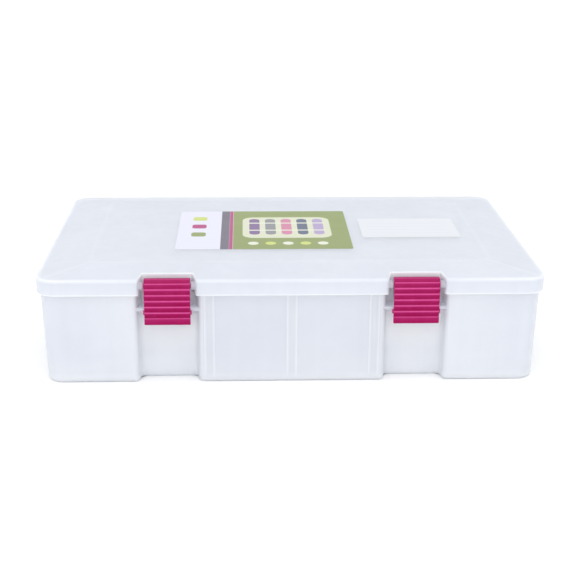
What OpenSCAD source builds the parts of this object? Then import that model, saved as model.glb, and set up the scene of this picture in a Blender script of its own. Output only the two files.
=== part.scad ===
// Deep hinged storage box for embroidery thread, moulded in frosted polypropylene.
// Millimetres, Z up, front towards -Y, standing on Z = 0 about the middle of its outline.

/* [Lid] */
// Width of the lid over its rim
lid_w = 355.6; // [300:0.1:420]
// Depth of the lid over its rim, front to back
lid_d = 228.5; // [200:0.1:260]
// Height of the lid's rim edge above the table
rim_z = 78; // [70:0.5:100]
// Radius of the lid's corners seen from above
corner_r = 14; // [11:0.5:22]
// Wall thickness of the lid
lid_t = 1.8; // [1.4:0.1:2.4]
// Height of the skirt that laps down over the base
skirt_h = 11.8; // [10:0.1:14]
// Radius along the lid's top edge
rim_round = 2; // [1:0.1:2.5]
// Rise of the flat top above the rim edge
crown_h = 4.3; // [3:0.1:8]
// Width of the sloping border at the front and the back
border_front = 30; // [20:1:40]
// Width of the sloping border at the two sides
border_side = 37; // [25:1:45]

/* [Base] */
// Wall thickness of the base
base_t = 2; // [1.6:0.1:2.4]
// Thickness of the base's floor
floor_t = 2.2; // [1.6:0.1:3]
// How far the base's walls lean in from the rim down to the floor
draft = 2; // [1:0.1:3]
// Radius along the base's bottom edge
foot_round = 3; // [1.5:0.1:4]
// Space between the lid's skirt and the base's wall
skirt_gap = 0.6; // [0.4:0.05:1]
// Space between the base's rim and the lid that rests on it
seat_gap = 0.2; // [0.1:0.05:0.4]
// Depth of the hollow under the floor that leaves a foot rim
foot_hollow = 0.8; // [0.4:0.1:1.2]
// Width of the foot rim
foot_w = 12; // [8:1:20]

/* [Latch wells] */
// Distance of each latch from the middle of the box
latch_x = 86.7; // [75:0.1:110]
// Half width of a latch well in the lid, at the front
well_half = 20; // [19:0.1:23]
// Depth of a latch well in the lid
well_depth = 10.5; // [10.2:0.1:12]
// How much a well narrows on each side for each millimetre of its depth
well_taper = 0.25; // [0.1:0.01:0.3]

/* [Latches] */
// Width of a latch
latch_w = 32; // [26:0.5:32]
// How far the latch's ribs stand in front of the lid
latch_proud = 0.5; // [0.2:0.1:1]
// Height of the latch's pivot above the table
pivot_z = 72.2; // [71:0.1:73]
// Distance of the pivot behind the lid's front
pivot_y = 4.8; // [4.5:0.1:5]
// Thickness of the latch's plate
latch_t = 2.2; // [1.8:0.1:2.6]
// Distance from the pivot down to the latch's lower edge
latch_drop = 27.2; // [24:0.1:30]
// Angle at which the latch's top lip ends, measured up from the back
lip_angle = 50; // [40:1:70]
// Spacing of the latch's ribs
rib_pitch = 4.25; // [3:0.05:5]
// Depth of the latch's ribs
rib_depth = 0.8; // [0.4:0.1:1]
// Number of ribs on a latch above its plain band
rib_count = 8; // [5:1:8]
// How far the hook stands off the back of the latch's plate
hook_h = 1.4; // [1:0.1:1.8]
// How far the hook's ends stand out past the latch's sides
hook_end = 0.8; // [0:0.1:1.2]
// Thickness of the ribs that carry the trunnions
cheek_t = 1.8; // [1.4:0.1:3]
// Radius of the latch's trunnions
trunnion_r = 1.5; // [1.2:0.05:1.8]
// Space round a trunnion in its hole
trunnion_gap = 0.05; // [0.02:0.01:0.1]
// Outer radius of the bosses in the lid's wells that carry the trunnions
boss_r = 3; // [2.6:0.1:3.2]
// Space between a boss and the latch's side
boss_gap = 0.5; // [0.3:0.1:1]
// Height of the catch bead above the table
catch_z = 55; // [53:0.5:58]
// Radius of the catch bead
catch_r = 1.5; // [1:0.1:2]
// Space between the latch's hook and the catch bead
catch_gap = 0.3; // [0.2:0.05:0.5]

/* [Hinges] */
// Distance of each hinge from the middle of the box
hinge_x = 100; // [70:1:130]
// Height of the hinge pins above the table
hinge_z = 65; // [64:0.1:66]
// Outer radius of the hinge knuckles
knuckle_r = 2.5; // [2.2:0.1:2.8]
// Radius of the hinge pins
pin_r = 1; // [0.8:0.05:1.2]
// Space round a pin in its knuckles
pin_gap = 0.05; // [0.02:0.01:0.1]
// Length of the lid's knuckle
lid_knuckle = 24; // [16:1:40]
// Length of each of the base's knuckles
base_knuckle = 8; // [5:0.5:14]
// Space between neighbouring knuckles
knuckle_gap = 0.4; // [0.2:0.05:0.6]
// Space between the knuckles and the base's wall
hinge_gap = 0.4; // [0.3:0.05:0.8]

/* [Dividers] */
// Spacing of the divider slots across the box
slot_pitch = 58; // [52:0.5:58]
// Space between the two ribs of a slot
slot_w = 2.1; // [1.8:0.1:2.6]
// Width of each slot rib
slot_rib_w = 2.7; // [1.6:0.1:3]
// How far the slot ribs stand off the wall at the floor
slot_rib_h = 2.5; // [1.5:0.1:3.5]
// Distance of the long divider behind the lid's front
long_y = 55.5; // [40:0.5:120]
// Thickness of the dividers
divider_t = 1.6; // [1.2:0.1:1.7]
// Height of the dividers' top edge above the table
divider_top = 72; // [50:0.5:74]
// Space between a divider's ends and what it slides into
divider_gap = 0.3; // [0.2:0.05:0.6]

/* [Labels] */
// Width of the printed label on the lid
label_w = 131; // [80:1:140]
// Depth of the printed label
label_d = 105; // [60:1:120]
// Sideways place of the printed label's middle
label_x = -18.5; // [-30:0.5:-15]
// Distance of the printed label's middle behind the lid's front
label_y = 110; // [100:1:118]
// Width of the plain sticker
sticker_w = 75; // [40:1:76]
// Depth of the plain sticker
sticker_d = 52; // [30:1:60]
// Corner radius of the printed label
label_r = 2; // [0.5:0.5:6]
// Corner radius of the plain sticker
sticker_r = 1.5; // [0.5:0.5:4]
// Space between the printed label and the sticker
sticker_gap = 9.5; // [3:0.5:12]
// Distance of the sticker's middle behind the lid's front
sticker_y = 113; // [100:1:120]
// Thickness of the label and the sticker
label_t = 0.2; // [0.1:0.05:0.3]

/* [Hidden] */
$fn = 64;
// Roundness of the corners that blend the lid's crown
blend_fn = 32;
// Overlap that fuses shapes of one piece
fuse = 0.5;
// Length of a cut that passes right through
through = 400;
// How far a latch well's cut reaches out in front of the box
mouth = 20;
// Thickness of the plates that a blend runs between
tier_t = 0.01;

// The lid's front plane, and the base's outline inside the lid's skirt
front = -lid_d / 2;
lap = lid_t + skirt_gap;
base_w = lid_w - 2 * lap;
base_d = lid_d - 2 * lap;
base_r = corner_r - lap;
skirt_z = rim_z - skirt_h;
lid_seat_z = rim_z - lid_t;
base_h = lid_seat_z - seat_gap;
draft_angle = atan(draft / base_h);
top_z = rim_z + crown_h;
// Inner edge of the flat ledge under the lid that rests on the base
ledge = lap + base_t + fuse;
// Width and drop of the soft crease round the flat top
crease = 2.5;
crease_drop = 0.45;

// Latch measures about the pivot
arc_r = pivot_y + latch_proud;
arc_len = arc_r * (180 - lip_angle) * PI / 180;
plate_inner = latch_t - latch_proud;
// Radius of the hub round the pivot, which bites a little into the plate
hub_bite = 0.2;
hub_r = arc_r - latch_t + hub_bite;
// Way from the lip to the first rib, and the small flats at the plate's edges
rib_start = 0.45;
edge_round = 0.6;
// Shares of a rib's pitch at which its crest ends and its slope is deepest
rib_crest = 0.3;
rib_deep = 0.9;
// Angle at which a cheek's lower side leaves the hub
cheek_angle = 30;
// Distance of the catch bead behind the lid's front
catch_y = plate_inner + hook_h + catch_gap + catch_r;
// Thickness of the ledge that carries the catch bead
ledge_t = 2;
// Distance of a trunnion's end from the latch's middle, just inside the well wall's far face
trunnion_play = 0.1;
trunnion_end = well_half - well_taper * pivot_y + lid_t - trunnion_play;
// Distance at which a boss ends inside the well's wall
boss_end = well_half - well_taper * (pivot_y - boss_r) + hub_bite;

// Hinge measures
hinge_y = base_d / 2 - draft * (base_h - hinge_z) / base_h + hinge_gap + knuckle_r;
pin_len = lid_knuckle + 2 * (knuckle_gap + base_knuckle);
base_knuckle_x = lid_knuckle / 2 + knuckle_gap + base_knuckle / 2;
// Clear height over the base's knuckles in the lid's skirt
skirt_cut_z = hinge_z + knuckle_r + 0.7;
// How far the leaf of a lid knuckle reaches up the skirt
leaf_h = 7;
// Small steps that keep a leaf inside the skirt's and the knuckle's outlines
leaf_step = 0.1;
// How far a base knuckle's bracket reaches down the rear wall
bracket_h = 4 * knuckle_r;

// The middle of the outline, from the latches' ribs to the hinge knuckles
y_shift = (lid_d / 2 + latch_proud - hinge_y - knuckle_r) / 2;

// The sticker stands beside the printed label
sticker_x = label_x + (label_w + sticker_w) / 2 + sticker_gap;

// Divider measures, with y counted back from the lid's front
wall_foot = lap + draft + base_t;
slot_face = wall_foot + slot_rib_h;
slots = [-slot_pitch, 0, slot_pitch];
divider_foot = floor_t;
// Length of the slot ribs' blocks, from their noses out past the wall
rib_reach = 20;

// How far a leaning wall has come in from the rim at a height above the table
function lean(z) = draft * (1 - z / base_h);

// Outline of a wall's section, as [inset, height] from the bottom edge to the top
function foot_arc(r, inset, z) = [for (a = [0 : 15 : 90]) [inset + r * (1 - sin(a)), z + r * (1 - cos(a))]];
function post(r, edge) = concat([[0, edge[0][1]]], [for (e = edge) [r - e[0], e[1]]],
                                [[0, edge[len(edge) - 1][1]]]);
function section(w, edge) = concat([for (e = edge) [w / 2 - e[0], e[1]]],
                                   [for (i = [len(edge) - 1 : -1 : 0]) [edge[i][0] - w / 2, edge[i][1]]]);

// A moulded block: round corner posts joined by straight walls of the same section
module moulded_block(w, d, r, edge) {
  for (sx = [-1, 1], sy = [-1, 1])
    translate([sx * (w / 2 - r), sy * (d / 2 - r), 0]) rotate_extrude() polygon(post(r, edge));
  rotate([90, 0, 0]) linear_extrude(d - 2 * r, center = true) polygon(section(w, edge));
  rotate([90, 0, 90]) linear_extrude(w - 2 * r, center = true) polygon(section(d, edge));
}

// A rounded rectangle with its inset counted from the lid's rim
module rim_plan(inset_x, inset_y, r) {
  w = lid_w - 2 * inset_x;
  d = lid_d - 2 * inset_y;
  square([w, d - 2 * r], center = true);
  square([w - 2 * r, d], center = true);
  for (sx = [-1, 1], sy = [-1, 1]) translate([sx * (w / 2 - r), sy * (d / 2 - r)]) circle(r);
}

// The plan of a latch well, grown by an inset into the material round it
module well_plan(inset) {
  side = well_half + inset * sqrt(1 + well_taper * well_taper);
  back = well_depth + inset;
  polygon([[-side - well_taper * mouth, -mouth], [side + well_taper * mouth, -mouth],
           [side - well_taper * back, back], [well_taper * back - side, back]]);
}

// Both latch wells as prisms that follow the lean of the wall behind them
module wells(inset, lean_angle) {
  for (side = [-1, 1])
    translate([side * latch_x, front, base_h]) rotate([lean_angle, 0, 0])
      linear_extrude(through, center = true) well_plan(inset);
}

// A tier of the lid's crown: a thin rounded plate at a height
module tier(inset_x, inset_y, r, z) {
  translate([0, 0, z]) linear_extrude(tier_t) rim_plan(inset_x, inset_y, r);
}

// The sloping border and flat top from a foot height up, lowered by a drop to make the underside
module crown(foot_inset, foot_z, drop) {
  hull($fn = blend_fn) {
    tier(foot_inset, foot_inset, corner_r - rim_round, foot_z - fuse);
    tier(foot_inset, foot_inset, corner_r - rim_round, foot_z - tier_t);
    tier(border_side - crease, border_front - crease, corner_r / 2, top_z - crease_drop - drop);
    tier(border_side + crease, border_front + crease, corner_r / 3, top_z - drop - tier_t);
  }
}

module skirt_block() {
  arc = [for (a = [0 : 15 : 90]) [rim_round * (1 - cos(a)), rim_z - rim_round * (1 - sin(a))]];
  moulded_block(lid_w, lid_d, corner_r, concat([[0, skirt_z]], arc));
}

// The space inside the lid: the skirt's lap over the base and the hollow under the crown
module lid_hollow() {
  translate([0, 0, skirt_z - 1]) linear_extrude(lid_seat_z - skirt_z + 1)
    rim_plan(lid_t, lid_t, corner_r - lid_t);
  crown(ledge, lid_seat_z, lid_t);
}

// One row of knuckle shapes, along X at a hinge's two sides
module at_hinges() {
  for (side = [-1, 1]) translate([side * hinge_x, 0, 0]) children();
}

module along_x(length) {
  rotate([90, 0, 90]) linear_extrude(length, center = true) children();
}

// The lid's knuckle with the leaf that carries it from the skirt
module lid_knuckles() {
  at_hinges() along_x(lid_knuckle) {
    translate([hinge_y, hinge_z]) circle(knuckle_r);
    polygon([[lid_d / 2 - lid_t, hinge_z + 2 * fuse], [hinge_y, hinge_z],
             [hinge_y + knuckle_r - leaf_step, hinge_z + fuse],
             [lid_d / 2 - leaf_step, skirt_z + leaf_h], [lid_d / 2 - lid_t, skirt_z + leaf_h]]);
  }
}

// The base's knuckles with the brackets that carry them from the rear wall
module base_knuckles() {
  wall = base_d / 2 - draft - base_t / 2;
  at_hinges() for (side = [-1, 1]) translate([side * base_knuckle_x, 0, 0]) along_x(base_knuckle) {
    translate([hinge_y, hinge_z]) circle(knuckle_r);
    polygon([[wall, hinge_z + knuckle_r - fuse], [hinge_y, hinge_z + knuckle_r - fuse],
             [hinge_y, hinge_z - knuckle_r], [wall, hinge_z - bracket_h]]);
  }
}

module hinge_bores() {
  at_hinges() translate([0, hinge_y, hinge_z]) rotate([0, 90, 0])
    cylinder(r = pin_r + pin_gap, h = pin_len + 2, center = true);
}

// Room in the lid's skirt for the base's knuckles
module skirt_cuts() {
  at_hinges() for (side = [-1, 1])
    translate([side * base_knuckle_x, lid_d / 2, skirt_z])
      cube([base_knuckle + 2 * knuckle_gap, 4 * lid_t, 2 * (skirt_cut_z - skirt_z)], center = true);
}

module trunnion_bores() {
  for (side = [-1, 1]) translate([side * latch_x, front + pivot_y, pivot_z]) rotate([0, 90, 0])
    cylinder(r = trunnion_r + trunnion_gap, h = 2 * (well_half + lid_t + fuse), center = true);
}

// Bosses that stand in from the sides of the lid's wells, right beside the latches
module trunnion_bosses() {
  near = latch_w / 2 + boss_gap;
  for (side = [-1, 1], end = [-1, 1])
    translate([side * latch_x + end * (near + boss_end) / 2, front + pivot_y, pivot_z]) rotate([0, 90, 0])
      cylinder(r = boss_r, h = boss_end - near, center = true);
}

module lid_shell() {
  color("ghostwhite", 0.6) translate([0, y_shift, 0]) difference() {
    union() {
      difference() {
        union() {
          skirt_block();
          crown(rim_round, rim_z, 0);
        }
        difference() {
          lid_hollow();
          wells(lid_t, 0);
        }
        skirt_cuts();
        wells(0, 0);
      }
      lid_knuckles();
      trunnion_bosses();
    }
    trunnion_bores();
    hinge_bores();
  }
}

// A pair of ribs that holds a divider's edge, from far outside the wall in to the slot face
module slot_pair() {
  for (side = [-1, 1])
    translate([side * (slot_w + slot_rib_w) / 2 - slot_rib_w / 2, -rib_reach, 0])
      cube([slot_rib_w, rib_reach, divider_top]);
}

// All the ribs on the walls of the base
module wall_ribs() {
  for (x = slots) {
    translate([x, front + slot_face, 0]) slot_pair();
    translate([x, -front - slot_face, 0]) rotate([0, 0, 180]) slot_pair();
  }
  for (side = [-1, 1])
    translate([side * (lid_w / 2 - slot_face), front + long_y, 0]) rotate([0, 0, side * 90]) slot_pair();
}

// Ledge and bead across each latch well, under which the latch's hook stands
module catch_ledges() {
  inset = lap + lean(catch_z) + fuse;
  for (side = [-1, 1]) translate([side * latch_x, front, 0]) {
    translate([0, 0, catch_z - ledge_t / 2]) linear_extrude(ledge_t) intersection() {
      well_plan(inset);
      translate([-through / 2, catch_y]) square([through, well_depth + inset - catch_y + 1]);
    }
    translate([0, catch_y, catch_z]) rotate([0, 90, 0])
      cylinder(r = catch_r, h = 2 * (well_half + lap - well_taper * catch_y + fuse), center = true);
  }
}

module base_tray() {
  outer = concat(foot_arc(foot_round, lean(foot_round), 0), [[0, base_h]]);
  inner = concat(foot_arc(foot_round - 1, lean(floor_t), floor_t), [[0, base_h], [0, base_h + 1]]);
  color("white", 0.6) translate([0, y_shift, 0]) difference() {
    union() {
      difference() {
        moulded_block(base_w, base_d, base_r, outer);
        difference() {
          moulded_block(base_w - 2 * base_t, base_d - 2 * base_t, base_r - base_t, inner);
          wells(lap + base_t, draft_angle);
          wall_ribs();
        }
        wells(lap, draft_angle);
        translate([0, 0, -1]) linear_extrude(1 + foot_hollow) difference() {
          rim_plan(lap + draft + foot_w, lap + draft + foot_w, base_r / 2);
          for (side = [-1, 1]) translate([side * latch_x, front]) well_plan(lap + draft + base_t);
        }
      }
      catch_ledges();
      base_knuckles();
    }
    hinge_bores();
  }
}

// A point on the latch's ribbed face, a given way along it from the lip and a given depth in
function face_point(s, depth) = s < arc_len
  ? let (a = lip_angle + s / arc_r * 180 / PI) [pivot_y + (arc_r - depth) * cos(a), pivot_z + (arc_r - depth) * sin(a)]
  : [depth - latch_proud, pivot_z - (s - arc_len)];

// The latch's section: stepped ribs down the face, then a plain band, and a smooth back
module latch_section() {
  face_len = arc_len + latch_drop;
  steps = [for (k = [0 : rib_count - 1]) rib_start + k * rib_pitch];
  ribbed = [for (s = steps) each [face_point(s, 0), face_point(s + rib_pitch * rib_crest, 0),
                                  face_point(s + rib_pitch * rib_deep, rib_depth)]];
  band = rib_start + rib_count * rib_pitch;
  foot_z = pivot_z - latch_drop;
  inner_arc = [for (a = [180 : -10 : lip_angle])
    [pivot_y + (arc_r - latch_t) * cos(a), pivot_z + (arc_r - latch_t) * sin(a)]];
  polygon(concat([face_point(0, edge_round)], ribbed,
                 [face_point(band, 0), face_point(face_len - edge_round, 0), face_point(face_len, edge_round)],
                 [[plate_inner - edge_round, foot_z], [plate_inner, foot_z + edge_round]], inner_arc));
}

// A rib across the latch's back, from the hub round the pivot down the plate
module latch_cheek() {
  translate([pivot_y, pivot_z]) circle(hub_r);
  polygon([[plate_inner - fuse, pivot_z], [pivot_y, pivot_z + hub_r],
           [pivot_y + hub_r * cos(cheek_angle), pivot_z - hub_r * sin(cheek_angle)],
           [plate_inner, catch_z + 2 * catch_r], [plate_inner - fuse, catch_z + 2 * catch_r]]);
}

// The hook that stands in front of the catch bead, just below the bead's middle
module latch_hook() {
  tip = plate_inner + hook_h;
  polygon([[plate_inner - fuse, catch_z + fuse], [tip, catch_z - catch_r + fuse],
           [tip, catch_z - catch_r - fuse], [plate_inner - fuse, catch_z - 2 * catch_r]]);
}

// One latch about the middle of its well
module latch() {
  along_x(latch_w) latch_section();
  for (x = [cheek_t / 2 - latch_w / 2, 0, latch_w / 2 - cheek_t / 2])
    translate([x, 0, 0]) along_x(cheek_t) latch_cheek();
  along_x(latch_w + 2 * hook_end) latch_hook();
  translate([0, pivot_y, pivot_z]) rotate([0, 90, 0])
    cylinder(r = trunnion_r, h = 2 * trunnion_end, center = true);
}

module latch_at(side) {
  color("mediumvioletred") translate([side * latch_x, front + y_shift, 0]) latch();
}

module latch_left() {
  latch_at(-1);
}

module latch_right() {
  latch_at(1);
}

module hinge_pin(side) {
  color("silver") translate([side * hinge_x, hinge_y + y_shift, hinge_z]) rotate([0, 90, 0])
    cylinder(r = pin_r, h = pin_len, center = true);
}

module hinge_pin_left() {
  hinge_pin(-1);
}

module hinge_pin_right() {
  hinge_pin(1);
}

// The wall's inner face at a height, as a half width across the box
function inner_half(z) = base_w / 2 - base_t - lean(z);

// Long divider across the box, with rib pairs that hold the cross dividers
module long_divider() {
  foot = inner_half(divider_foot + foot_round) - divider_gap;
  head = inner_half(divider_top) - divider_gap;
  corner = foot_round;
  color("whitesmoke", 0.7) translate([0, front + long_y + y_shift, 0]) {
    rotate([90, 0, 0]) linear_extrude(divider_t, center = true)
      polygon([[-foot + corner, divider_foot], [foot - corner, divider_foot], [foot, divider_foot + corner],
               [head, divider_top], [-head, divider_top], [-foot, divider_foot + corner]]);
    for (x = slots, side = [-1, 1])
      translate([x + side * (slot_w + slot_rib_w) / 2 - slot_rib_w / 2, -divider_t / 2 - slot_rib_h, divider_foot])
        cube([slot_rib_w, slot_rib_h + fuse, divider_top - divider_foot]);
  }
}

// Cross divider from the front wall back to the long divider
module cross_divider(x) {
  near_foot = lap + base_t + lean(divider_foot) + divider_gap;
  near_head = lap + base_t + lean(divider_top) + divider_gap;
  far = long_y - divider_t / 2 - divider_gap;
  corner = foot_round;
  color("whitesmoke", 0.7) translate([x, front + y_shift, 0]) along_x(divider_t)
    polygon([[near_foot + corner, divider_foot], [far, divider_foot], [far, divider_top],
             [near_head, divider_top], [near_foot, divider_foot + corner]]);
}

module cross_divider_left() {
  cross_divider(slots[0]);
}

module cross_divider_middle() {
  cross_divider(slots[1]);
}

module cross_divider_right() {
  cross_divider(slots[2]);
}

// A thin sheet with rounded corners, stuck on the lid's flat top
module stuck_sheet(x, y, w, d, r) {
  translate([x, front + y + y_shift, top_z]) linear_extrude(label_t) {
    square([w, d - 2 * r], center = true);
    square([w - 2 * r, d], center = true);
    for (sx = [-1, 1], sy = [-1, 1]) translate([sx * (w / 2 - r), sy * (d / 2 - r)]) circle(r);
  }
}

module top_label() {
  color("olivedrab") stuck_sheet(label_x, label_y, label_w, label_d, label_r);
}

module plain_sticker() {
  color("white") stuck_sheet(sticker_x, sticker_y, sticker_w, sticker_d, sticker_r);
}

base_tray();
lid_shell();
latch_left();
latch_right();
hinge_pin_left();
hinge_pin_right();
long_divider();
cross_divider_left();
cross_divider_middle();
cross_divider_right();
top_label();
plain_sticker();
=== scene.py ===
"""Looks of a deep hinged storage box for embroidery thread, in frosted polypropylene.

Sizes are in millimetres about the middle of the lid's rim, with y counted towards the hinge, and
are turned into the frame's metres when a mesh is made.
"""
import logging
import math
from dataclasses import dataclass
from enum import Enum
from typing import Callable, Optional, Sequence, Union

import bpy
import numpy as np
from mathutils import Matrix


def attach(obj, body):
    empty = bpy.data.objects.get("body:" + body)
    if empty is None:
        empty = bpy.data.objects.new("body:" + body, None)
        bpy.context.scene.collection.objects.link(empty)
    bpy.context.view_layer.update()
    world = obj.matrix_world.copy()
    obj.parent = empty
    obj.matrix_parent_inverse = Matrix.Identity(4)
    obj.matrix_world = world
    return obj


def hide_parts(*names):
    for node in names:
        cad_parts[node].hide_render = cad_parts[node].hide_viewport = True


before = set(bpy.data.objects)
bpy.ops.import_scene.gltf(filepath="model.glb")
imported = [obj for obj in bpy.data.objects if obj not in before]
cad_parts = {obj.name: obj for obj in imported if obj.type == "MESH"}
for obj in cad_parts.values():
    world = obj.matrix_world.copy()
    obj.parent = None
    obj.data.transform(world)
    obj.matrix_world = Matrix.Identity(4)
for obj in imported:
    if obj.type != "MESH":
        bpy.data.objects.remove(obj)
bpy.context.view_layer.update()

TINY = 1e-9
Colour = tuple[float, float, float, float]
Measure = Union[float, np.ndarray]
Material = bpy.types.Material
Piece = bpy.types.Object


def shade(red: float, green: float, blue: float) -> Colour:
    """A colour as the eye reads it, 0 to 255, in a shader's linear parts ((c + 0.055) / 1.055) ** 2.4."""
    parts = [((c / 255 + 0.055) / 1.055) ** 2.4 for c in (red, green, blue)]
    return (parts[0], parts[1], parts[2], 1.0)


class Axis(Enum):
    """The direction in which a section is carried, and the order of its two coordinates."""
    X = "y, z"
    Y = "z, x"
    Z = "x, y"


@dataclass
class BoxSizes:
    """The sizes that the lid and the tray share."""
    lid_w: float = 355.6
    lid_d: float = 228.5
    rim_z: float = 78.0
    corner_r: float = 14.0
    lid_t: float = 1.8
    skirt_h: float = 11.8
    crown_h: float = 4.3
    border_front: float = 30.0
    border_side: float = 37.0
    crease: float = 2.5
    crease_drop: float = 0.45
    rim_round: float = 2.0
    base_t: float = 2.0
    floor_t: float = 2.2
    draft: float = 2.0
    skirt_gap: float = 0.6
    seat_gap: float = 0.2
    latch_x: float = 86.7
    well_half: float = 20.0
    well_depth: float = 10.5
    well_taper: float = 0.25
    latch_proud: float = 0.5
    catch_z: float = 55.0
    catch_r: float = 1.5
    pivot_y: float = 4.8
    pivot_z: float = 72.2
    hinge_x: float = 100.0
    hinge_z: float = 65.0
    knuckle_r: float = 2.5
    knuckle_x: float = 16.4
    hinge_gap: float = 0.4
    slots: tuple[float, float, float] = (-58.0, 0.0, 58.0)
    long_y: float = 55.5
    divider_t: float = 1.6
    divider_top: float = 72.0
    divider_gap: float = 0.3
    slot_w: float = 2.1
    slot_rib_w: float = 2.7
    slot_rib_h: float = 2.5

    @property
    def front(self) -> float:
        """The lid's front plane."""
        return -self.lid_d / 2

    @property
    def lap(self) -> float:
        """How far the base's wall stands inside the lid's rim."""
        return self.lid_t + self.skirt_gap

    @property
    def seat_z(self) -> float:
        """Height of the ledge under the lid."""
        return self.rim_z - self.lid_t

    @property
    def base_h(self) -> float:
        """Height of the base's rim."""
        return self.seat_z - self.seat_gap

    @property
    def skirt_z(self) -> float:
        """Height of the skirt's lower edge."""
        return self.rim_z - self.skirt_h

    @property
    def top_z(self) -> float:
        """Height of the lid's flat top."""
        return self.rim_z + self.crown_h

    @property
    def hinge_y(self) -> float:
        """Place of the hinge's axis."""
        return self.lid_d / 2 - self.lap - self.lean(self.hinge_z) + self.hinge_gap + self.knuckle_r

    @property
    def y_shift(self) -> float:
        """What brings the middle of the whole outline to the frame's origin."""
        return (self.lid_d / 2 + self.latch_proud - self.hinge_y - self.knuckle_r) / 2

    @property
    def slot_nose(self) -> float:
        """How far behind the rim the slot ribs end."""
        return self.lap + self.draft + self.base_t + self.slot_rib_h

    @property
    def rib_x(self) -> float:
        """How far a slot rib's middle stands from the slot's middle."""
        return (self.slot_w + self.slot_rib_w) / 2

    def lean(self, z: Measure) -> Measure:
        """How far a leaning wall has come in at a height, as draft * (1 - z / height)."""
        return self.draft * (1 - z / self.base_h)


BOX = BoxSizes()


class Pile:
    """Surfaces gathered into one mesh."""

    def __init__(self) -> None:
        """Starts empty."""
        self.points: list[np.ndarray] = []
        self.faces: list[list[int]] = []
        self.edges: list[np.ndarray] = []
        self.count = 0

    def skin(self, rings: np.ndarray, edge: Measure = 0.0, tube: bool = False) -> None:
        """Joins closed rings into a surface: ring j, point i meets ring j + 1, point i + 1.

        Args:
            rings: points as (ring, place round the ring, 3).
            edge: up to 1 where the surface is painted paler, and frosted plastic made denser: mostly
                painted highlights along roundings and crests, and paler plastic that lifts shade in
                hollows, under the skirt and at the foot; down to -1 where it is clearer.
            tube: joins the last ring to the first, instead of closing both with a face.
        """
        m, n, _ = rings.shape
        j, i = np.meshgrid(np.arange(m if tube else m - 1), np.arange(n), indexing="ij")
        here, there = j * n, ((j + 1) % m) * n
        turn = (i + 1) % n
        quads = np.stack([here + i, here + turn, there + turn, there + i], -1).reshape(-1, 4) + self.count
        self.faces += quads.tolist()
        if not tube:
            self.faces.append((np.arange(n)[::-1] + self.count).tolist())
            self.faces.append((np.arange(n) + (m - 1) * n + self.count).tolist())
        self.points.append(rings.reshape(-1, 3))
        self.edges.append(np.broadcast_to(np.asarray(edge, float), (m, n)).reshape(-1))
        self.count += m * n

    def make(self, name: str, material: Material, body: str, slot: str,
             node: str, sharp: float = 32.0) -> Piece:
        """Turns the surfaces into an object that rides a body.

        Args:
            name: the piece's name.
            material: its finish.
            body: the body that it moves with.
            slot: the record's slot of its finish; not used.
            node: the node that it stands for.
            sharp: angle in degrees past which an edge is drawn sharp.

        Returns:
            The object, with its place in its mesh.
        """
        points = np.concatenate(self.points) + np.array([0.0, BOX.y_shift, 0.0])
        mesh = bpy.data.meshes.new(name)
        mesh.from_pydata((points / 1000).tolist(), [], self.faces)
        mesh.polygons.foreach_set("use_smooth", np.ones(len(mesh.polygons), bool))
        mesh.set_sharp_from_angle(angle=math.radians(sharp))
        mesh.attributes.new("edge", "FLOAT", "POINT").data.foreach_set("value", np.concatenate(self.edges))
        mesh.materials.append(material)
        mesh.validate()
        piece = bpy.data.objects.new(name, mesh)
        bpy.context.scene.collection.objects.link(piece)
        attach(piece, body)
        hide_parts(node)
        logging.info("%s: %d faces, on %s", name, len(mesh.polygons), body)
        return piece


class Levels:
    """Closed rings, each with its edge values, that follow one another along a moulded skin."""

    def __init__(self) -> None:
        """Starts empty."""
        self.rings: list[np.ndarray] = []
        self.edges: list[np.ndarray] = []

    def add(self, xy: np.ndarray, z: Measure, edge: Measure) -> None:
        """Adds a ring, whose height and edge are one value or one for each of its points."""
        self.rings.append(np.column_stack([xy, np.broadcast_to(np.asarray(z, float), (len(xy),))]))
        self.edges.append(np.broadcast_to(np.asarray(edge, float), (len(xy),)))

    def close(self, pile: Pile) -> None:
        """Adds the whole skin to a pile."""
        pile.skin(np.stack(self.rings), np.stack(self.edges))


def inset_loop(loop: np.ndarray, amount: float) -> np.ndarray:
    """Moves a closed loop inwards: each point goes along (n0 + n1) / (1 + n0 . n1) by the amount.

    Args:
        loop: anticlockwise points as (place, 2).
        amount: how far the sides move.

    Returns:
        The moved loop.
    """
    along = np.roll(loop, -1, 0) - loop
    along /= np.linalg.norm(along, axis=1, keepdims=True) + TINY
    after = np.stack([along[:, 1], -along[:, 0]], 1)
    before = np.roll(after, 1, 0)
    spread = np.maximum(1 + (after * before).sum(1, keepdims=True), 0.6)
    return loop - (after + before) / spread * amount


def carry(loops: np.ndarray, places: np.ndarray, axis: Axis) -> np.ndarray:
    """Sets loops of two coordinates at places along an axis.

    Args:
        loops: (ring, place, 2) in the axis's own order.
        places: (ring,) or (ring, place) coordinates along the axis.
        axis: the direction.

    Returns:
        Points as (ring, place, 3).
    """
    a, b = loops[..., 0], loops[..., 1]
    c = np.broadcast_to(places if places.ndim == 2 else places[:, None], a.shape)
    order = {Axis.X: (c, a, b), Axis.Y: (b, c, a), Axis.Z: (a, b, c)}[axis]
    return np.stack(order, -1)


def bar(loop: np.ndarray, start: Measure, end: Measure, axis: Axis, bevel: float = 0.3) -> np.ndarray:
    """Rings of a bar: the loop carried from start to end, drawn in at both ends by a bevel.

    Args:
        loop: the section, anticlockwise, as (place, 2).
        start, end: where the bar begins and ends, for the whole loop or for each of its points.
        axis: the bar's direction.
        bevel: size of the bevelled edges.

    Returns:
        Rings as (4, place, 3).
    """
    small = inset_loop(loop, bevel)
    ends = np.stack([np.broadcast_to(np.asarray(v, float), (len(loop),))
                     for v in (start, start + bevel, end - bevel, end)])
    return carry(np.stack([small, loop, loop, small]), ends, axis)


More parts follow.
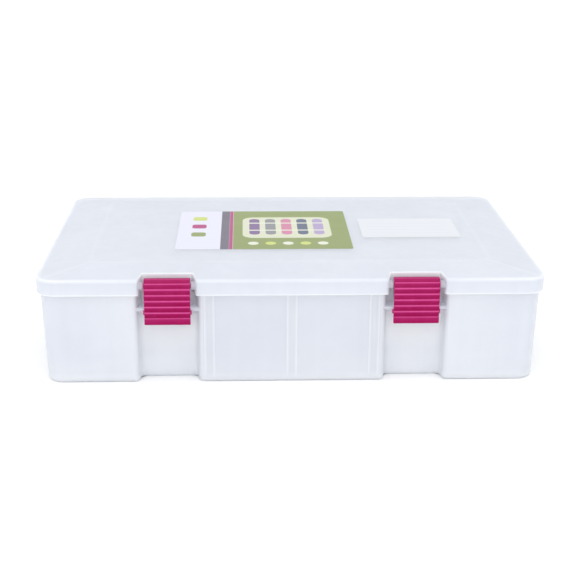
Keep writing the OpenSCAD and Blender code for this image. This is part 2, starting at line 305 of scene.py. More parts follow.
def circle(centre: tuple[float, float], radius: float, steps: int = 40) -> np.ndarray:
    """An anticlockwise circle: centre + radius * (cos a, sin a)."""
    a = np.linspace(0, 2 * math.pi, steps, endpoint=False)
    return np.stack([centre[0] + radius * np.cos(a), centre[1] + radius * np.sin(a)], 1)


def bored(outer: np.ndarray, centre: tuple[float, float], mid: float, length: float,
          radius: float = 1.05, bevel: float = 0.25) -> np.ndarray:
    """Rings of a bored block along X, one closed tube: the outer loop from end to end, then the bore back.

    Args:
        outer: the section, with one point on each ray from the bore's centre.
        centre: the bore's centre.
        mid: the block's middle.
        length: its length.
        radius: the bore's radius.
        bevel: size of the bevelled edges.

    Returns:
        Rings as (8, place, 3), to be closed on themselves.
    """
    start, end = mid - length / 2, mid + length / 2
    small = inset_loop(outer, bevel)
    bore = circle(centre, radius, len(outer))
    wide = circle(centre, radius + bevel / 2, len(outer))
    loops = np.stack([small, outer, outer, small, wide, bore, bore, wide])
    places = [start, start + bevel, end - bevel, end, end, end - bevel / 2, start + bevel / 2, start]
    return carry(loops, np.array(places), Axis.X)


def rounded_rectangle(x: float, y: float, w: float, d: float, r: float, steps: int = 10) -> np.ndarray:
    """A rectangle with a quarter circle of radius r round each corner's centre.

    Args:
        x, y: its middle.
        w, d: its width and depth.
        r: the radius.
        steps: points of each quarter circle.

    Returns:
        An anticlockwise loop as (place, 2).
    """
    a = np.linspace(0, math.pi / 2, steps)[None, :] + np.arange(4)[:, None] * math.pi / 2
    sx, sy = np.array([1, -1, -1, 1])[:, None], np.array([1, 1, -1, -1])[:, None]
    points = np.stack([x + sx * (w / 2 - r) + r * np.cos(a), y + sy * (d / 2 - r) + r * np.sin(a)], -1)
    return points.reshape(-1, 2)


def swept_round(centre: tuple[float, float], shape: np.ndarray, radius: float,
                steps: int = 72) -> np.ndarray:
    """The outline of a disc joined with a polygon that it touches: at each angle it lies at the larger
    of the radius and the distance at which the ray from the centre leaves the polygon.

    Args:
        centre: the disc's centre.
        shape: the polygon's corners as (corner, 2).
        radius: the disc's radius.
        steps: number of rays.

    Returns:
        An anticlockwise loop, with one point on each ray.
    """
    a = np.linspace(0, 2 * math.pi, steps, endpoint=False)
    ray = np.stack([np.cos(a), np.sin(a)], 1)[:, None, :]
    p = (shape - np.array(centre))[None]
    q = np.roll(p, -1, 1)
    side = q - p
    cross = ray[..., 0] * side[..., 1] - ray[..., 1] * side[..., 0]
    cross = np.where(np.abs(cross) < TINY, TINY, cross)
    far = (p[..., 0] * side[..., 1] - p[..., 1] * side[..., 0]) / cross
    part = (p[..., 0] * ray[..., 1] - p[..., 1] * ray[..., 0]) / cross
    hit = np.where((part >= 0) & (part <= 1) & (far > 0), far, 0).max(1)
    return np.array(centre) + ray[:, 0] * np.maximum(hit, radius)[:, None]


@dataclass(frozen=True)
class Turn:
    """One corner, or a point on a straight side, of the box's plan."""
    x: float
    y: float
    home: tuple[int, int]
    radius: float = 0.0
    steps: int = 0
    well: bool = False
    drop: float = 0.0
    nose: float = 0.0
    # line: strength of a painted highlight line on the outer wall beside a slot rib.
    line: float = 0.0


class Plan:
    """The box's plan outline, whose insets and lean give every wall of a moulding.

    A rounded corner inset by w keeps its centre and has the radius r - w, a corner that points into
    the box has r + w, and past its radius a corner runs on along its mitre (n0 + n1) / (1 + n0 . n1).
    No corner gets sharper than SHARP, and points on a side keep at least NEAR from its corners.
    """
    SHARP = 0.15
    NEAR = 0.05

    def __init__(self, turns: Sequence[Turn]) -> None:
        """Samples each corner's arc.

        Args:
            turns: the corners, anticlockwise from the front left.
        """
        spot = np.array([(t.x, t.y) for t in turns])
        ahead = np.roll(spot, -1, 0) - spot
        gap = np.linalg.norm(ahead, axis=1)
        for k in range(2 * len(turns)):
            k %= len(turns)
            if gap[k] < TINY:
                ahead[k] = ahead[k - 1]
        ahead /= np.linalg.norm(ahead, axis=1, keepdims=True)
        n1 = np.stack([ahead[:, 1], -ahead[:, 0]], 1)
        n0 = np.roll(n1, 1, 0)
        mitre = (n0 + n1) / (1 + (n0 * n1).sum(1, keepdims=True))
        bend = n0[:, 0] * n1[:, 1] - n0[:, 1] * n1[:, 0]
        who, part = [], []
        for k, t in enumerate(turns):
            s = np.linspace(0, 1, t.steps + 1) if t.steps else np.zeros(1)
            who.append(np.full(len(s), k))
            part.append(s)
        self.who, self.part = np.concatenate(who), np.concatenate(part)
        angle = np.arctan2(n0[:, 1], n0[:, 0])[self.who]
        sweep = np.arctan2(bend, (n0 * n1).sum(1))[self.who]
        a = angle + sweep * self.part
        self.spoke = np.stack([np.cos(a), np.sin(a)], 1)
        self.corner, self.mitre = spot[self.who], mitre[self.who]
        self.along = ahead[self.who]
        self.bend = np.where(np.abs(bend) < TINY, 0, np.sign(bend))[self.who]
        self.radius, self.home, self.well, self.drop, self.nose, self.line = (
            np.array([getattr(t, name) for t in turns], kind)[self.who]
            for name, kind in (("radius", float), ("home", float), ("well", bool), ("drop", float),
                               ("nose", float), ("line", float)))
        index = np.arange(len(self.who))
        firm = index[self.bend != 0]
        self.last = firm[np.searchsorted(firm, index, side="right") - 1]
        self.next = firm[np.searchsorted(firm, index, side="left") % len(firm)]

    def at(self, inset: Measure, lean: Measure = 0.0) -> np.ndarray:
        """The outline at an inset, moved in by a lean.

        Args:
            inset: one value, or one for each point.
            lean: how far the walls have come in, of the same kind.

        Returns:
            Points as (place, 2).
        """
        w = np.broadcast_to(np.asarray(inset, float), self.radius.shape)[:, None]
        r = self.radius[:, None]
        out = (self.corner - self.mitre * np.maximum(w + self.SHARP, r)
               + self.spoke * np.maximum(r - w, self.SHARP))
        hollow = self.corner + self.mitre * r - self.spoke * (r + w)
        flat = self.corner - self.mitre * w
        bend = self.bend[:, None]
        p = np.where(bend > 0, out, np.where(bend < 0, hollow, flat))
        start, end = p[self.last], p[self.next]
        run = ((end - start) * self.along).sum(1)
        held = np.clip(((p - start) * self.along).sum(1), self.NEAR, np.maximum(run - self.NEAR, self.NEAR))
        p = np.where(bend == 0, start + self.along * held[:, None], p)
        shift = np.broadcast_to(np.asarray(lean, float), self.radius.shape)[:, None]
        return p - self.home * shift

    def rectangle(self, inset_x: float, inset_y: float, r: float) -> np.ndarray:
        """The point of a plain rounded rectangle that belongs to each point of the outline.

        Args:
            inset_x, inset_y: distance inside the rim at the sides and at the front and back.
            r: the rectangle's corner radius.

        Returns:
            Points as (place, 2).
        """
        half = np.array([BOX.lid_w / 2 - inset_x, BOX.lid_d / 2 - inset_y])
        corner = (self.home != 0).all(1)[:, None]
        held = np.clip(self.corner, -(half - r), half - r)
        side = np.where(self.home != 0, self.home * half, held)
        return np.where(corner, self.home * (half - r) + self.spoke * r, side)

    def heart(self) -> np.ndarray:
        """The small rectangle that a floor or a top is closed with."""
        return self.rectangle(110, 80, 2.0)


def front_turns(well_out: float, well_in: float, points: Sequence[Turn] = ()) -> list[Turn]:
    """The front side from left to right with its two latch wells, and points between them.

    Args:
        well_out, well_in: radius of the wells' outer and inner corners.
        points: more points on the front side.

    Returns:
        The turns in order.
    """
    turns = list(points)
    for side in (-1, 1):
        mid, back = side * BOX.latch_x, BOX.front + BOX.well_depth
        half, slim = BOX.well_half, BOX.well_half - BOX.well_taper * BOX.well_depth
        for x, y, r in ((mid - half, BOX.front, well_out), (mid - slim, back, well_in),
                        (mid + slim, back, well_in), (mid + half, BOX.front, well_out)):
            turns.append(Turn(x, y, (0, -1), r, 6, well=True))
    return sorted(turns, key=lambda t: t.x)


def box_plan(front: Sequence[Turn], right: Sequence[Turn], rear: Sequence[Turn],
             left: Sequence[Turn]) -> Plan:
    """The closed plan: four round corners with the turns of each side between them.

    Args:
        front, right, rear, left: the turns of each side, anticlockwise.

    Returns:
        The plan.
    """
    w, d, r = BOX.lid_w / 2, BOX.lid_d / 2, BOX.corner_r
    return Plan([Turn(-w, -d, (-1, -1), r, 12), *front, Turn(w, -d, (1, -1), r, 12), *right,
                 Turn(w, d, (1, 1), r, 12), *rear, Turn(-w, d, (-1, 1), r, 12), *left])


def ribbed(middle: float, side: tuple[int, int]) -> list[Turn]:
    """Points of a pair of slot ribs on a side of the box. Each rib has a softened nose, and a painted
    highlight line on the wall outside it, brighter away from the slot.

    Args:
        middle: the slot's place along the side.
        side: the side's outward direction.

    Returns:
        Turns in rising order of their place.
    """
    soft, tip = 0.45, 0.01
    turns = []
    for rib in (-1, 1):
        for step, nose in ((-1, 0.0), (-1, -soft), (-1 + soft, tip), (1 - soft, tip), (1, -soft), (1, 0.0)):
            place = middle + rib * BOX.rib_x + step * BOX.slot_rib_w / 2
            x = place if side[0] == 0 else side[0] * BOX.lid_w / 2
            y = place if side[0] != 0 else side[1] * BOX.lid_d / 2
            # Painted highlight: the wall is painted paler along each rib, most on its far side.
            line = 0.15 if step * rib < 0 else 0.55 if nose else 0.0
            turns.append(Turn(x, y, side, nose=BOX.slot_nose + nose if nose else 0.0, line=line))
    return turns


Term = Union["Wire", float]


class Wire:
    """A socket that takes part in Python expressions, each of which adds a Math node."""

    def __init__(self, tree: bpy.types.NodeTree, socket: bpy.types.NodeSocket) -> None:
        """Wraps an output socket."""
        self.tree, self.socket = tree, socket

    def _math(self, operation: str, *values: Term) -> "Wire":
        """Adds a Math node.

        Args:
            operation: the node's operation.
            values: its inputs, as wires or numbers.

        Returns:
            The node's result.
        """
        node = self.tree.nodes.new("ShaderNodeMath")
        node.operation = operation
        for slot, value in zip(node.inputs, values):
            if isinstance(value, Wire):
                self.tree.links.new(value.socket, slot)
            else:
                slot.default_value = value
        return Wire(self.tree, node.outputs[0])

    def __add__(self, other: Term) -> "Wire":
        """Sum."""
        return self._math("ADD", self, other)

    __radd__ = __add__

    def __sub__(self, other: Term) -> "Wire":
        """Difference."""
        return self._math("SUBTRACT", self, other)

    def __rsub__(self, other: float) -> "Wire":
        """Difference from a number."""
        return self._math("SUBTRACT", other, self)

    def __mul__(self, other: Term) -> "Wire":
        """Product."""
        return self._math("MULTIPLY", self, other)

    __rmul__ = __mul__

    def __truediv__(self, other: Term) -> "Wire":
        """Quotient."""
        return self._math("DIVIDE", self, other)

    def __pow__(self, other: float) -> "Wire":
        """Power."""
        return self._math("POWER", self, other)

    def __abs__(self) -> "Wire":
        """Size without its sign."""
        return self._math("ABSOLUTE", self)

    def top(self, other: Term) -> "Wire":
        """The larger of two."""
        return self._math("MAXIMUM", self, other)

    def low(self, other: Term) -> "Wire":
        """The smaller of two."""
        return self._math("MINIMUM", self, other)

    def held(self) -> "Wire":
        """Kept between 0 and 1."""
        return self.top(0.0).low(1.0)

    def wrapped(self, span: float) -> "Wire":
        """The distance into a repeat of a given span."""
        return self._math("FLOORED_MODULO", self, span)


class Board:
    """The node tree of a material or of the world."""

    def __init__(self, owner: bpy.types.ID, output: str = "ShaderNodeOutputMaterial") -> None:
        """Leaves nothing in the owner's tree but its output node.

        Args:
            owner: a material or a world.
            output: type of the output node.
        """
        owner.use_nodes = True
        self.owner, self.tree = owner, owner.node_tree
        self.tree.nodes.clear()
        self.output = self.tree.nodes.new(output)

    @classmethod
    def material(cls, name: str) -> "Board":
        """The board of a new material."""
        return cls(bpy.data.materials.new(name))

    def add(self, kind: str, settings: Optional[dict[str, object]] = None,
            sockets: Optional[dict[Union[str, int], object]] = None, out: Union[str, int] = 0) -> Wire:
        """Adds a node of any kind.

        Args:
            kind: the node's type.
            settings: its own settings, set before its sockets.
            sockets: values or wires by socket name or number.
            out: the output that is returned.

        Returns:
            The chosen output.
        """
        node = self.tree.nodes.new(kind)
        for key, value in (settings or {}).items():
            setattr(node, key, value)
        for key, value in (sockets or {}).items():
            if isinstance(value, Wire):
                self.tree.links.new(value.socket, node.inputs[key])
            else:
                node.inputs[key].default_value = value
        return Wire(self.tree, node.outputs[out])

    def place(self) -> Wire:
        """Object coordinates, in metres."""
        return self.add("ShaderNodeTexCoord", out="Object")

    def noise(self, scale: float, detail: float = 2.0,
              stretch: Optional[tuple[float, float, float]] = None) -> Wire:
        """Noise about 0.5 in object coordinates.

        Args:
            scale: one over the size of its features in metres.
            detail: how many finer layers it has.
            stretch: what the coordinates are multiplied by, under 1 for longer features.

        Returns:
            The noise.
        """
        at = self.place()
        if stretch:
            at = self.add("ShaderNodeMapping", None, {"Vector": at, "Scale": stretch})
        return self.add("ShaderNodeTexNoise", None, {"Vector": at, "Scale": scale, "Detail": detail})

    def axes(self, at: Wire) -> tuple[Wire, Wire, Wire]:
        """The three parts of a vector."""
        x, y, z = self.add("ShaderNodeSeparateXYZ", None, {0: at}).socket.node.outputs
        return Wire(self.tree, x), Wire(self.tree, y), Wire(self.tree, z)

    def mix(self, factor: Term, a: Union[Wire, Colour], b: Union[Wire, Colour]) -> Wire:
        """Colour a turned into colour b by a factor."""
        return self.add("ShaderNodeMix", {"data_type": "RGBA"}, {0: factor, 6: a, 7: b}, out=2)

    def edge(self) -> Wire:
        """The edge value that the mesh carries at its points."""
        return self.add("ShaderNodeAttribute", {"attribute_name": "edge"}, out="Fac")

    def bump(self, height: Wire, depth: float) -> Wire:
        """A surface relief from a height of 0 to 1 and its depth in metres."""
        sockets = {"Height": height, "Distance": depth, "Strength": 1.0}
        return self.add("ShaderNodeBump", None, sockets, "Normal")

    def end(self, shader: Wire) -> bpy.types.ID:
        """Links the shader to the output and returns the tree's owner."""
        self.tree.links.new(shader.socket, self.output.inputs["Surface"])
        return self.owner

    def surface(self, sockets: dict[Union[str, int], object],
                through: Optional[Wire] = None) -> Material:
        """Ends the tree with the plastic, film or metal shader.

        Args:
            sockets: the shader's values and wires.
            through: share of the surface that spreads the light from behind it.

        Returns:
            The material.
        """
        shader = self.add("ShaderNodeBsdfPrincipled", None, sockets)
        if through is not None:
            spread = self.add("ShaderNodeBsdfTranslucent", None, {"Color": sockets["Base Color"]})
            shader = self.add("ShaderNodeMixShader", None, {0: through, 1: shader, 2: spread})
        return self.end(shader)


@dataclass(frozen=True)
class FrostedPlastic:
    """Translucent polypropylene with a fine matt grain and cloudy body, made denser and paler where
    the mesh's edge value paints highlights and lifts shade.

    The body's density and that of a full edge are the opacity there, through is the share of the
    light that is spread from behind, and streaks is how strong the flow lines are.
    """
    name: str
    density: float
    through: float
    rough: float
    streaks: float = 0.05
    body: Colour = shade(241, 245, 253)
    # pale is the cloud's paler tone and also the colour of the painted highlights and lifted shade.
    pale: Colour = shade(250, 252, 255)
    edge_density: float = 0.9
    grain: float = 0.00004

    def material(self) -> Material:
        """Builds the finish.

        Returns:
            The material.
        """
        b = Board.material(self.name)
        cloud, flow = b.noise(26, 3) - 0.5, b.noise(9, 1) - 0.5
        streak = (b.noise(120, 2, (1, 1, 0.04)) - 0.5) * self.streaks
        mark = b.edge()
        edge, clear = mark.held(), (mark * -1.0).held()
        scuff = ((b.noise(60, 4) - 0.55) * 5).held() * edge
        # Painted light: the edge value turns the colour pale and the plastic denser, as painted highlights
        # and as paler plastic that lifts shade; cloud and streaks vary the same mix at random.
        body = b.mix((edge * 0.9 + cloud * 0.5 + streak * 2).held(), self.body, self.pale)
        colour = b.mix(flow * 0.25 + 0.06, body, self.pale)
        opacity = self.density + edge * (self.edge_density - self.density) + cloud * 0.08 + streak
        relief = b.noise(2300, 2) * 0.6 + cloud * 0.4
        return b.surface({"Base Color": colour, "Alpha": (opacity * (1 - clear)).held(), "IOR": 1.49,
                          "Roughness": self.rough + cloud * 0.12 + scuff * 0.15 - edge * 0.08,
                          "Specular IOR Level": 0.4, "Normal": b.bump(relief, self.grain)},
                         self.through + clear * 0.5)


@dataclass(frozen=True)
class GlossPlastic:
    """Opaque coloured plastic with a satin moulded skin, with highlights painted in its pale colour."""
    name: str
    body: Colour
    pale: Colour
    rough: float = 0.3
    grain: float = 0.00003

    def material(self) -> Material:
        """Builds the finish.

        Returns:
            The material.
        """
        b = Board.material(self.name)
        cloud = b.noise(140, 3) - 0.5
        # Painted highlight: the edge value turns the colour to the pale one, and paler, rougher patches break
        # it up.
        edge = b.edge().held()
        pale_patches = ((b.noise(420, 4) - 0.5) * 4).held() * edge
        colour = b.mix((edge * 0.75 + cloud * 0.12 + pale_patches * 0.15).held(), self.body, self.pale)
        return b.surface({"Base Color": colour, "Roughness": self.rough + cloud * 0.1 + pale_patches * 0.12,
                          "IOR": 1.5, "Specular IOR Level": 0.1,
                          "Normal": b.bump(b.noise(2600, 2), self.grain)})


@dataclass(frozen=True)
class SteelWire:
    """Drawn steel wire with fine rings and dull spots."""
    name: str
    body: Colour = shade(196, 198, 202)
    dull: Colour = shade(120, 116, 112)
    grain: float = 0.00002

    def material(self) -> Material:
        """Builds the finish.

        Returns:
            The material.
        """
        b = Board.material(self.name)
        drawn = b.noise(900, 3, (0.05, 1, 1))
        spots = ((b.noise(500, 4) - 0.6) * 6).held()
        return b.surface({"Base Color": b.mix(spots * 0.5, self.body, self.dull), "Metallic": 1.0,
                          "Roughness": 0.28 + drawn * 0.15 + spots * 0.2,
                          "Normal": b.bump(drawn, self.grain)})


def sheet_place(b: Board, x: float, y: float) -> tuple[Wire, Wire]:
    """Millimetres to the right of and behind a sheet's middle, at x and y of the box."""
    at_x, at_y, _ = b.axes(b.place())
    return at_x * 1000 - x, at_y * 1000 - (y + BOX.y_shift)


@dataclass(frozen=True)
class PrintedFilm:
    """Glossy printed film: a white end, two stripes and a green field with plain skeins on a card."""
    name: str
    x: float
    y: float
    w: float
    white: Colour = shade(226, 227, 241)
    dark: Colour = shade(112, 108, 124)
    stripe: Colour = shade(178, 70, 128)
    field: Colour = shade(142, 156, 98)
    card: Colour = shade(216, 220, 196)
    skeins: tuple[Colour, ...] = (shade(128, 104, 148), shade(140, 142, 148), shade(206, 132, 164),
                                  shade(92, 104, 128), shade(176, 160, 200))
    lime: Colour = shade(202, 214, 120)
    pale: Colour = shade(226, 230, 214)
    soft: float = 0.2
    waviness: float = 0.00025

    def tile(self, u: Wire, v: Wire, x: float, y: float, w: float, d: float, r: float) -> Wire:
        """A mask of a rounded rectangle: distance = |max(q, 0)| + min(max(qx, qy), 0) - r.

        Args:
            u, v: the film's own coordinates in millimetres.
            x, y: the tile's middle.
            w, d: its width and depth.
            r: its corner radius.

        Returns:
            1 inside the tile and 0 outside, with a slightly soft edge.
        """
        qx = abs(u - x) - (w / 2 - r)
        qy = abs(v - y) - (d / 2 - r)
        far = (qx.top(0.0) ** 2.0 + qy.top(0.0) ** 2.0) ** 0.5 + qx.top(qy).low(0.0) - r
        return (0.5 - far / self.soft).held()

    def material(self) -> Material:
        """Builds the print.

        Returns:
            The material.
        """
        b = Board.material(self.name)
        u, v = sheet_place(b, self.x, self.y)
        left = -self.w / 2
        tiles = [(left + 36.2, 0, 6.4, 120, 0.1, self.dark), (left + 40.8, 0, 2.6, 120, 0.1, self.stripe),
                 (18, 5, 68, 58, 9, self.card)]
        tiles += [(18 + (k - 2) * 12.4, 7, 8, 44, 4, colour) for k, colour in enumerate(self.skeins)]
        tiles += [(18, y, 60, 2.6, 0.3, self.pale) for y in (17, -3)]
        tiles += [(-8 + k * 13, -38, 8, 8, 4, self.lime if k % 2 else self.pale) for k in range(5)]
        tiles += [(left + 16, 30 - k * 22, 11, 11, 2.5, colour)
                  for k, colour in enumerate((self.lime, self.stripe, self.field))]
        ink = b.mix(((u - (left + 42.2)) / self.soft).held(), self.white, self.field)
        for x, y, w, d, r, colour in tiles:
            ink = b.mix(self.tile(u, v, x, y, w, d, r), ink, colour)
        wave, edge = b.noise(45, 2), b.edge().held()
        pale_patches = ((b.noise(300, 4) - 0.62) * 4).held()
        return b.surface({"Base Color": b.mix(pale_patches * 0.12 + edge * 0.3, ink, self.white),
                          "Roughness": 0.42 + (wave - 0.5) * 0.12 + pale_patches * 0.1,
                          "Specular IOR Level": 0.35, "Normal": b.bump(wave, self.waviness)})


@dataclass(frozen=True)
class PaperSticker:
    """White paper with faint ruled lines and a fine fibre."""
    name: str
    x: float
    y: float
    white: Colour = shade(224, 227, 233)
    line: Colour = shade(208, 211, 221)
    pitch: float = 9.0
    half: tuple[float, float] = (31.0, 19.0)
    waviness: float = 0.00015

    def material(self) -> Material:
        """Builds the finish.

        Returns:
            The material.
        """
        b = Board.material(self.name)
        u, v = sheet_place(b, self.x, self.y)
        rule = (abs((v + 100).wrapped(self.pitch) - self.pitch / 2) - 0.18) / 0.1
        within = ((self.half[0] - abs(u)) / 0.2).held(), ((self.half[1] - abs(v)) / 0.2).held()
        ruled = (1 - rule.held()) * within[0] * within[1]
        fibre, wave = b.noise(1400, 4), b.noise(60, 2)
        return b.surface({"Base Color": b.mix(ruled * 0.8 + (fibre - 0.5) * 0.2, self.white, self.line),
                          "Roughness": 0.55 + (fibre - 0.5) * 0.2,
                          "Normal": b.bump(fibre * 0.2 + wave * 0.8, self.waviness)})


class Finishes:
    """Every plastic and the steel, built once."""

    def __init__(self) -> None:
        """Builds the materials."""
        self.lid = FrostedPlastic("lid_frosted", 0.7, 0.12, 0.34).material()
        self.base = FrostedPlastic("base_frosted", 0.63, 0.12, 0.4, 0.04).material()
        self.divider = FrostedPlastic("divider_frosted", 0.3, 0.3, 0.42).material()
        # The latch's second colour is that of its painted highlights.
        self.latch = GlossPlastic("latch_magenta", shade(154, 2, 80), shade(232, 96, 170)).material()
        self.steel = SteelWire("pin_wire").material()


@dataclass
class Tray:
    """The base: one moulded skin with latch wells, slot ribs, a foot rim, catch ledges and knuckles.

    Several fields hold edge values, which Pile.skin explains, and all of them paint light or shade.
    Those of a well are a painted highlight at its corners and paler plastic on its back, less below
    and more above the height from which the latch and its ledge shade it, to lift that shade; those
    of the wall stand with their heights and lift the shade near the foot and under the skirt; the
    foot's and the floor's lift shade, and the rim's and the ribs' paint highlights.
    """
    foot_round: float = 3.0
    foot_hollow: float = 0.8
    foot_w: float = 12.0
    rim_soft: float = 0.5
    inner_round: float = 2.2
    ledge_t: float = 2.0
    # Painted shade lift: above this height the wells' backs are painted paler, where the latch and its ledge
    # shade them.
    latch_shadow_z: float = 30.0
    catch_y: float = 4.9
    knuckle: float = 8.0
    # Painted light: these values make the plastic paler and denser, to lift shade at the foot, on the floor,
    # on the wells' backs and under the skirt, and to paint highlights on the rim, the ribs and the wells'
    # corners.
    foot_shade_lift: float = 0.55
    rim_highlight: float = 0.9
    floor_shade_lift: float = 0.35
    rib_highlight: float = 0.6
    well_highlight_and_lift: tuple[float, float, float] = (0.4, 0.55, 0.95)
    wall_shade_lift: tuple[tuple[float, float], ...] = (
        (8.0, 0.25), (20.0, 0.1), (35.0, 0.0), (50.0, 0.0), (62.0, 0.0), (70.0, 0.8))

    def plan(self) -> Plan:
        """The tray's plan with its slot ribs.

        Returns:
            The plan.
        """
        front = [t for x in BOX.slots for t in ribbed(x, (0, -1))]
        rear = [t for x in BOX.slots for t in ribbed(x, (0, 1))][::-1]
        right = ribbed(BOX.front + BOX.long_y, (1, 0))
        left = ribbed(BOX.front + BOX.long_y, (-1, 0))[::-1]
        return box_plan(front_turns(5.4, 0.8, front), right, rear, left)

    def profile(self) -> list[tuple[float, float, float]]:
        """The wall's section, from the foot rim up, over the rim and down to the floor, with quarter circles
        at the foot, rim and floor.

        Returns:
            Points as (inset from the wall's face, height, edge).
        """
        r, s, q = self.foot_round, self.rim_soft, self.inner_round
        top, t, low, rib_top = BOX.base_h, BOX.base_t, BOX.floor_t, BOX.divider_top
        arc = [(1 - math.sin(a), 1 - math.cos(a), math.sin(2 * a)) for a in np.radians(range(0, 91, 15))]
        rim = self.rim_highlight
        # Painted light: the foot's rounding is painted paler to lift its contact shade.
        section = [(r * a, r * c, self.foot_shade_lift) for a, c, _ in arc]
        # Painted light: the wall is painted paler near the foot and most under the skirt, to lift the shade
        # there.
        section += [(0.0, z, edge) for z, edge in (*self.wall_shade_lift, (top - s, 0.5))]
        # Painted highlight along the rim's roundings.
        section += [(s * c, top - s * a, rim) for a, c, _ in arc[1::2]] + [(s, top, rim), (t - s, top, rim)]
        section += [(t - s * a, top - s * c, rim) for a, c, _ in arc[1::2]]
        section += [(t, z, 0.0) for z in (top - s - 0.1, 73.0, rib_top, rib_top - 0.01, 50.0, 30.0, 12.0)]
        # A faint painted highlight on the rounding into the floor.
        return section + [(t + q * c, low + q * a, 0.2 * bend) for a, c, bend in arc]

    def shell(self, pile: Pile) -> None:
        """Adds the skin: each profile point is the plan at that inset, moved in by the wall's lean.

        Args:
            pile: what it is added to.
        """
        plan, skin = self.plan(), Levels()
        hollow = BOX.lap + BOX.draft + self.foot_w
        inner = hollow + self.foot_hollow
        # Painted light: the floor is painted paler and denser to lift the shade inside the box, and the
        # foot's ground face paler towards its inner edge.
        skin.add(plan.heart(), self.foot_hollow, self.floor_shade_lift)
        skin.add(plan.rectangle(inner, inner, 3.0), self.foot_hollow, self.floor_shade_lift)
        skin.add(plan.rectangle(hollow, hollow, 3.8), 0.0, 0.6)
        skin.add(plan.at(BOX.lap + self.foot_round + 2, BOX.draft), 0.0, 0.0)
        half = np.array([BOX.lid_w / 2, BOX.lid_d / 2])
        corner, low, high = self.well_highlight_and_lift
        within = False
        for inset, z, edge in self.profile():
            within = within or z >= BOX.base_h
            xy = plan.at(BOX.lap + inset, BOX.lean(z))
            # Painted light: a highlight at the wells' outer corners, and a paler back that lifts the latch's
            # shadow.
            well = np.where(plan.bend > 0, corner, high if z > self.latch_shadow_z else low)
            spots = np.where(plan.well & (inset < BOX.base_t), well, 0.0)
            # Painted highlight lines on the outer wall where the slot ribs stand.
            if not within and z > self.foot_round:
                spots = np.where(plan.line > 0, plan.line, spots)
            # Painted highlight on the slot ribs' noses.
            if within and z < BOX.divider_top:
                depth = ((half - np.abs(xy)) * (plan.home != 0)).sum(1)
                push = np.where(plan.nose > 0, np.maximum(plan.nose - depth, 0), 0)
                xy = xy - plan.home * push[:, None]
                spots = np.where(plan.nose > 0, self.rib_highlight, spots)
            skin.add(xy, z, np.maximum(edge, spots))
        # Painted light: the floor's inner face is painted paler, as above.
        skin.add(plan.rectangle(30, 30, 6.0), BOX.floor_t, self.floor_shade_lift)
        skin.add(plan.heart(), BOX.floor_t, self.floor_shade_lift)
        skin.close(pile)

    def ledges(self, pile: Pile) -> None:
        """Adds the ledge and bead across each latch well: a section carried along X between the well's
        leaning sides, x = half - taper * y.

        Args:
            pile: what they are added to.
        """
        z, r, sunk = BOX.catch_z, BOX.catch_r, 0.5
        a = np.radians(np.linspace(45, 315, 13))
        bead = np.stack([self.catch_y + r * np.cos(a), z + r * np.sin(a)], 1)
        back = BOX.well_depth + BOX.lap + BOX.lean(z) + sunk
        loop = np.concatenate([bead, [[back, z - self.ledge_t / 2], [back, z + self.ledge_t / 2]]])
        reach = BOX.well_half + BOX.lap - BOX.well_taper * loop[:, 0] + sunk
        for mid in (-BOX.latch_x, BOX.latch_x):
            pile.skin(bar(loop + (BOX.front, 0.0), mid - reach, mid + reach, Axis.X, 0.1), -0.2)

    def knuckles(self, pile: Pile) -> None:
        """Adds the bored hinge knuckles on their brackets.

        Args:
            pile: what they are added to.
        """
        y, z, r = BOX.hinge_y, BOX.hinge_z, BOX.knuckle_r
        wall = BOX.lid_d / 2 - BOX.lap - BOX.draft - BOX.base_t / 2
        shape = np.array([[wall, z + r - 0.5], [y, z + r - 0.5], [y, z - r], [wall, z - 4 * r]])
        outer = swept_round((y, z), shape, r)
        for hinge in (-1, 1):
            for side in (-1, 1):
                mid = hinge * BOX.hinge_x + side * BOX.knuckle_x
                pile.skin(bored(outer, (y, z), mid, self.knuckle), 0.3, tube=True)

    def build(self, finish: Material) -> Piece:
        """Builds the tray.

        Args:
            finish: its plastic.

        Returns:
            The tray.
        """
        pile = Pile()
        self.shell(pile)
        self.ledges(pile)
        self.knuckles(pile)
        return pile.make("tray_moulding", finish, "base", "base_plastic", "base_tray")


